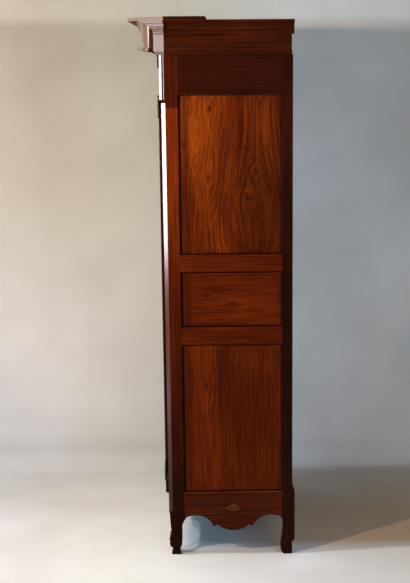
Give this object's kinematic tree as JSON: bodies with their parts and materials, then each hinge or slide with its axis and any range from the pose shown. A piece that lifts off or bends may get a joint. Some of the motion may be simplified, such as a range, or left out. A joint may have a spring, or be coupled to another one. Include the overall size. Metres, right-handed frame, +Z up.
{
  "type": "bonnetiere wardrobe",
  "caption": "Tall narrow provincial wardrobe with one long panelled door, canted corners, a deep shaped cornice and scalloped aprons on scroll feet.",
  "frame": {"origin": "on the floor, under the middle of the box round the whole cabinet", "axes": "+Z up, -Y towards the door side, +X towards the door's hinges"},
  "size_m": [0.92, 0.625, 2.1],
  "materials": {
    "post_cherry": "varnished, upright grain",
    "rail_cherry": "varnished, level grain",
    "panel_cherry": "varnished, upright grain with knots",
    "panel_cherry_across": "varnished, level grain with knots",
    "cornice_cherry": "varnished",
    "peg_wood": "varnished end grain",
    "carcass_softwood": "bare, aged",
    "hinge_brass": "aged",
    "escutcheon_brass": "aged",
    "lock_iron": "dark, worn"
  },
  "bodies": {
    "carcass": {"back_boards": "carcass_softwood", "back_bottom_rail": "carcass_softwood", "back_top_rail": "carcass_softwood", "cornice_back_rail": "carcass_softwood", "cornice_corner_left": "cornice_cherry", "cornice_corner_right": "cornice_cherry", "cornice_crown_board": "cornice_cherry", "cornice_crown_left": "cornice_cherry", "cornice_crown_right": "cornice_cherry", "cornice_front": "cornice_cherry", "cornice_front_bed": "cornice_cherry", "cornice_side_left": "cornice_cherry", "cornice_side_right": "cornice_cherry", "floor_board": "carcass_softwood", "frame_pegs": "peg_wood", "front_apron": "rail_cherry", "front_frieze_board": "rail_cherry", "front_post_left": "post_cherry", "front_post_right": "post_cherry", "front_top_rail": "rail_cherry", "hinge_post_halves": "hinge_brass", "lock_keeper": "lock_iron", "rear_heel_blocks": "carcass_softwood", "rear_post_left": "post_cherry", "rear_post_right": "post_cherry", "roof_board": "carcass_softwood", "shelf_1": "carcass_softwood", "shelf_2": "carcass_softwood", "shelf_3": "carcass_softwood", "shelf_cleats": "carcass_softwood", "side_apron_left": "rail_cherry", "side_apron_right": "rail_cherry", "side_lower_panel_left": "panel_cherry", "side_lower_panel_right": "panel_cherry", "side_lower_rail_left": "rail_cherry", "side_lower_rail_right": "rail_cherry", "side_middle_panel_left": "panel_cherry_across", "side_middle_panel_right": "panel_cherry_across", "side_top_rail_left": "rail_cherry", "side_top_rail_right": "rail_cherry", "side_upper_panel_left": "panel_cherry", "side_upper_panel_right": "panel_cherry", "side_upper_rail_left": "rail_cherry", "side_upper_rail_right": "rail_cherry"},
    "door": {"door_bottom_rail": "rail_cherry", "door_hinge_stile": "post_cherry", "door_lock_stile": "post_cherry", "door_lower_panel": "panel_cherry", "door_lower_rail": "rail_cherry", "door_middle_panel": "panel_cherry_across", "door_pegs": "peg_wood", "door_top_rail": "rail_cherry", "door_upper_panel": "panel_cherry", "door_upper_rail": "rail_cherry", "escutcheon": "escutcheon_brass", "hinge_door_halves": "hinge_brass", "lock_case": "lock_iron"},
    "lock_bolt": {"lock_bolt": "lock_iron"},
    "key": {"key": "lock_iron"}
  },
  "joints": [
    {"name": "door_swing", "type": "hinge", "parent": "carcass", "child": "door", "pos_m": [0.389, -0.199, 1.021], "axis": [0, 0, 1], "range_deg": [0, 170]},
    {"name": "key_turn", "type": "hinge", "parent": "door", "child": "key", "pos_m": [-0.331, -0.2005, 1.041], "axis": [0, -1, 0], "range_deg": [0, 360]},
    {"name": "bolt_throw", "type": "slide", "parent": "door", "child": "lock_bolt", "axis": [-1, 0, 0], "range_m": [0, 0.014]}
  ],
  "couplings": [
    {"joint": "bolt_throw", "follows": "key_turn", "m_per_rad": 0.0022281}
  ]
}
